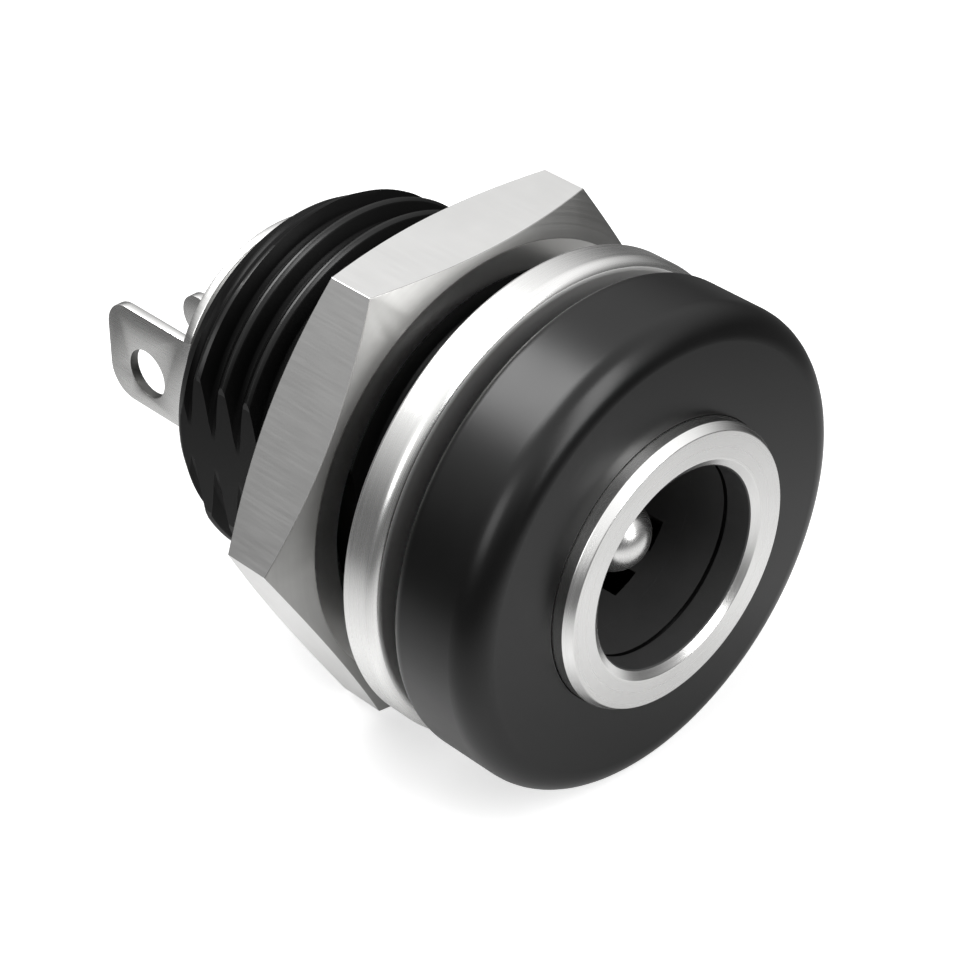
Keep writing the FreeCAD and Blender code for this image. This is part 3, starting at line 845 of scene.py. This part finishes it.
@dataclass
class HexNut:
    """The hexagon nut, with its corners turned off on both faces."""

    across_flats: float = 13.62
    front: float = 3.29
    rear: float = 5.79
    corner_cut: float = 1.28
    corner_drop: float = 0.53
    sink: float = 5.8
    edge: float = 0.02
    thread: Thread = Thread(5.25, 5.75, 0.14, 0.28265, 1.0, 9.45, 3.29, 5.79)

    def build(self) -> None:
        """Make the nut and dress it."""
        bm = self.outside()
        inside = bmesh.new()
        self.thread.skin(inside)
        for v in inside.verts:
            limit = self.sink - min(v.co.y - self.front, self.rear - v.co.y)
            if off_axis(v.co) < limit:
                set_distance(v, limit)
        joined(bm, inside)
        for y in (self.front, self.rear):
            bmesh.ops.bridge_loops(bm, edges=rim(bm, y))
        bmesh.ops.recalc_face_normals(bm, faces=bm.faces)
        piece = dressed(finished(bm, "hex_nut_turned"), BAR_NICKEL, Slot.PLATE, Body.NUT, "hex_nut")
        side, face = 0.1, 0.99
        # The nut's cones and edge rounds take the darker nickel: painted shade.
        faced(piece, CONE_SHADE_NICKEL, lambda _, normal: side < abs(normal.y) < face)
        weighted = piece.modifiers.new("flat_faces", "WEIGHTED_NORMAL")
        weighted.keep_sharp = True

    def outside(self) -> bmesh.types.BMesh:
        """The hexagon with its turned corners, open at both faces."""
        corner = self.across_flats / math.sqrt(3)
        bm = bmesh.new()
        ring = bmesh.ops.create_circle(bm, cap_ends=True, segments=6, radius=corner)["verts"]
        bmesh.ops.rotate(bm, verts=ring, matrix=Matrix.Rotation(math.radians(30), 3, "Z"))
        bmesh.ops.rotate(bm, verts=ring, matrix=Matrix.Rotation(math.radians(90), 3, "X"))
        bmesh.ops.translate(bm, verts=ring, vec=AXIS * self.front)
        made = bmesh.ops.extrude_face_region(bm, geom=bm.faces[:])["geom"]
        bmesh.ops.translate(bm, verts=[v for v in made if isinstance(v, bmesh.types.BMVert)],
                            vec=AXIS * (self.rear - self.front))
        bmesh.ops.recalc_face_normals(bm, faces=bm.faces)
        self.turn_corners(bm, corner)
        bend = math.radians(15)
        sharp = [e for e in bm.edges if e.is_manifold and e.calc_face_angle() > bend]
        bmesh.ops.bevel(bm, geom=sharp, offset=self.edge, segments=3, profile=0.5, affect="EDGES",
                        material=-1, clamp_overlap=True)
        square_on = 0.999
        ends = [f for f in bm.faces if abs(f.normal.y) > square_on]
        bmesh.ops.delete(bm, geom=ends, context="FACES")
        for y in (self.front, self.rear):
            edge_radius = min(off_axis(v.co) for e in rim(bm, y) for v in e.verts)
            pull(bm, rim(bm, y), [(edge_radius - self.edge, y)])
        return bm

    def turn_corners(self, bm: bmesh.types.BMesh, corner: float) -> None:
        """Cut the cones off both faces with a ring of planes each.

        Args:
            bm: the hexagonal prism.
            corner: the hexagon's radius over its corners.
        """
        cuts = 96
        for y, way in ((self.front, -1), (self.rear, 1)):
            for k in range(cuts):
                turn = FULL_TURN * (k + 0.5) / cuts
                out = Vector((math.cos(turn), 0, math.sin(turn)))
                normal = out * self.corner_drop + AXIS * way * self.corner_cut
                place = out * (corner - self.corner_cut) + AXIS * y
                geometry = bm.verts[:] + bm.edges[:] + bm.faces[:]
                bmesh.ops.bisect_plane(bm, geom=geometry, dist=WELD, plane_co=place, plane_no=normal,
                                       clear_outer=True)
                open_edges = [e for e in bm.edges if e.is_boundary]
                bmesh.ops.holes_fill(bm, edges=open_edges, sides=0)


@dataclass
class Studio:
    """The pale floor, the lamps and the camera."""

    camera_place: Vector = Vector((-47.6135, -43.7485, 47.4698))
    camera_right: Vector = Vector((0.70753, -0.70668, 0.00191))
    camera_up: Vector = Vector((0.41095, 0.41364, 0.81241))
    lens: float = 112.7
    sensor: float = 36.0
    see_from: float = 1.0
    see_to: float = 100_000.0
    floor_height: float = -7.06
    floor_size: float = 4000.0
    camera_glow: float = 0.6
    shadow_end: float = 40.0
    white_from: float = 160.0
    mirror_glow: float = 1.1
    mirror_dim: float = 0.5
    painted_shadow_foot: float = 6.0
    painted_shadow_edge: float = 12.0
    near: float = 12.0
    far: float = 32.0
    paper_white: float = 0.8
    far_grey: float = 0.12
    room_light: float = 0.15
    horizon_low: float = 0.02
    horizon_high: float = 0.85
    horizon_grey: float = 0.14
    zenith: float = 1.15

    def camera(self) -> None:
        """The camera at the photograph's viewing angle."""
        data = bpy.data.cameras.new("camera")
        data.lens = self.lens
        data.sensor_width = self.sensor
        data.clip_start = self.see_from * MM
        data.clip_end = self.see_to * MM
        made = bpy.data.objects.new("camera", data)
        back = self.camera_right.cross(self.camera_up)
        turn = Matrix((self.camera_right, self.camera_up, back)).transposed().to_4x4()
        made.matrix_world = Matrix.Translation(self.camera_place * MM) @ turn
        bpy.context.scene.collection.objects.link(made)
        bpy.context.scene.camera = made

    def lamp(self, name: str, place: Sequence[float], width: float, height: float, glow: float) -> None:
        """A soft lamp that points at the socket.

        Args:
            name: the lamp's name.
            place: where it hangs, in millimetres.
            width: its level side, in millimetres.
            height: its other side, in millimetres.
            glow: how bright its face is, where 1 is white.
        """
        data = bpy.data.lights.new(name, "AREA")
        data.shape = "RECTANGLE"
        data.size = width * MM
        data.size_y = height * MM
        data.energy = glow * math.pi * data.size * data.size_y
        made = bpy.data.objects.new(name, data)
        spot = Vector(place) * MM
        made.matrix_world = Matrix.Translation(spot) @ (-spot).to_track_quat("-Z", "Y").to_matrix().to_4x4()
        bpy.context.scene.collection.objects.link(made)

    def floor(self) -> None:
        """A wide white floor."""
        bm = bmesh.new()
        bmesh.ops.create_grid(bm, x_segments=1, y_segments=1, size=self.floor_size / 2)
        bmesh.ops.translate(bm, verts=bm.verts, vec=(0, 0, self.floor_height))
        made = finished(bm, "floor")
        made.data.materials.append(self.paper())

    def paper(self) -> bpy.types.Material:
        """White paper, which the camera and the part's reflections see in two ways.

        To the camera it glows enough to be white, but less so near the part, where its shadow falls. In a
        reflection it glows with a painted shadow under the part, is bright just round it, and greyer the
        further off it lies.

        Returns:
            The material.
        """
        g = Graph("floor_paper")
        g.set(Roughness=1.0, Specular_IOR_Level=0.0, Emission_Color=(1, 1, 1, 1))
        path = g.node("ShaderNodeLightPath")
        distance = g.node("ShaderNodeVectorMath", operation="LENGTH")
        g.link(g.place, distance.inputs[0])
        reach = distance.outputs["Value"]
        away = g.spread(reach, self.mirror_dim, 1.0, self.near * MM, self.far * MM)
        mirrored = g.node("ShaderNodeMath", operation="MULTIPLY")
        g.link(path.outputs["Is Glossy Ray"], mirrored.inputs[0])
        g.link(away, mirrored.inputs[1])
        colour = g.blend(mirrored.outputs[0], grey(self.paper_white), grey(self.far_grey))
        g.link(colour, g.shader.inputs["Base Color"])
        close = g.node("ShaderNodeMath", operation="SUBTRACT")
        g.link(path.outputs["Is Glossy Ray"], close.inputs[0])
        g.link(mirrored.outputs[0], close.inputs[1])
        clear = g.node("ShaderNodeMath", operation="MULTIPLY")
        g.link(close.outputs[0], clear.inputs[0])
        # Reflections see no glow from the floor under the part: a painted shadow there.
        g.link(g.spread(reach, 0.0, 1.0, self.painted_shadow_foot * MM, self.painted_shadow_edge * MM), clear.inputs[1])
        glow = g.spread(clear.outputs[0], 0.0, self.mirror_glow, 0.0, 1.0)
        total = g.node("ShaderNodeMath", operation="MULTIPLY_ADD")
        seen = g.spread(reach, self.camera_glow, 1.0, self.shadow_end * MM, self.white_from * MM)
        g.link(path.outputs["Is Camera Ray"], total.inputs[0])
        g.link(seen, total.inputs[1])
        g.link(glow, total.inputs[2])
        g.link(total.outputs[0], g.shader.inputs["Emission Strength"])
        return g.material

    def world(self) -> None:
        """A room that is white to the camera, has a dark horizon in reflections, and lights dimly."""
        world = bpy.data.worlds.new("room")
        bpy.context.scene.world = world
        world.use_nodes = True
        tree = world.node_tree

        def node(kind: str, operation: str = "") -> bpy.types.Node:
            """Add a node to the world."""
            made = tree.nodes.new(kind)
            if operation:
                made.operation = operation
            return made

        way = node("ShaderNodeTexCoord")
        split = node("ShaderNodeSeparateXYZ")
        ramp = node("ShaderNodeMapRange")
        ramp.interpolation_type = "SMOOTHSTEP"
        ramp.inputs["From Min"].default_value = self.horizon_low
        ramp.inputs["From Max"].default_value = self.horizon_high
        ramp.inputs["To Min"].default_value = self.horizon_grey
        ramp.inputs["To Max"].default_value = self.zenith
        tree.links.new(way.outputs["Generated"], split.inputs[0])
        tree.links.new(split.outputs["Z"], ramp.inputs["Value"])
        path = node("ShaderNodeLightPath")
        mirrored = node("ShaderNodeMath", "MULTIPLY")
        tree.links.new(path.outputs["Is Glossy Ray"], mirrored.inputs[0])
        tree.links.new(ramp.outputs["Result"], mirrored.inputs[1])
        seen = node("ShaderNodeMath", "MAXIMUM")
        tree.links.new(path.outputs["Is Camera Ray"], seen.inputs[0])
        tree.links.new(mirrored.outputs[0], seen.inputs[1])
        lit = node("ShaderNodeMath", "MULTIPLY")
        lit.inputs[1].default_value = self.room_light
        tree.links.new(path.outputs["Is Diffuse Ray"], lit.inputs[0])
        total = node("ShaderNodeMath", "MAXIMUM")
        tree.links.new(seen.outputs[0], total.inputs[0])
        tree.links.new(lit.outputs[0], total.inputs[1])
        background = tree.nodes["Background"]
        background.inputs["Color"].default_value = (1, 1, 1, 1)
        tree.links.new(total.outputs[0], background.inputs["Strength"])

    def build(self) -> None:
        """Set up the whole stage."""
        bpy.context.scene.view_settings.view_transform = "Standard"
        self.camera()
        self.floor()
        self.world()
        self.lamp("rear_softbox", (-52, 228, 324), 220, 230, 7.8)
        self.lamp("front_strip", (56, -320, 233), 165, 420, 5.8)
        self.lamp("side_softbox", (-360, -40, 180), 200, 180, 2.6)


def main() -> None:
    """Build the socket on its frame, then the stage."""
    logging.basicConfig(level=logging.INFO, format="%(name)s: %(message)s")
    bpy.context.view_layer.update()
    for part in (Housing(), Mouth(), RearContacts(), Washer(), HexNut()):
        part.build()
        log.info("%s is in place", type(part).__name__)
    Studio().build()


if __name__ == "__main__":
    main()
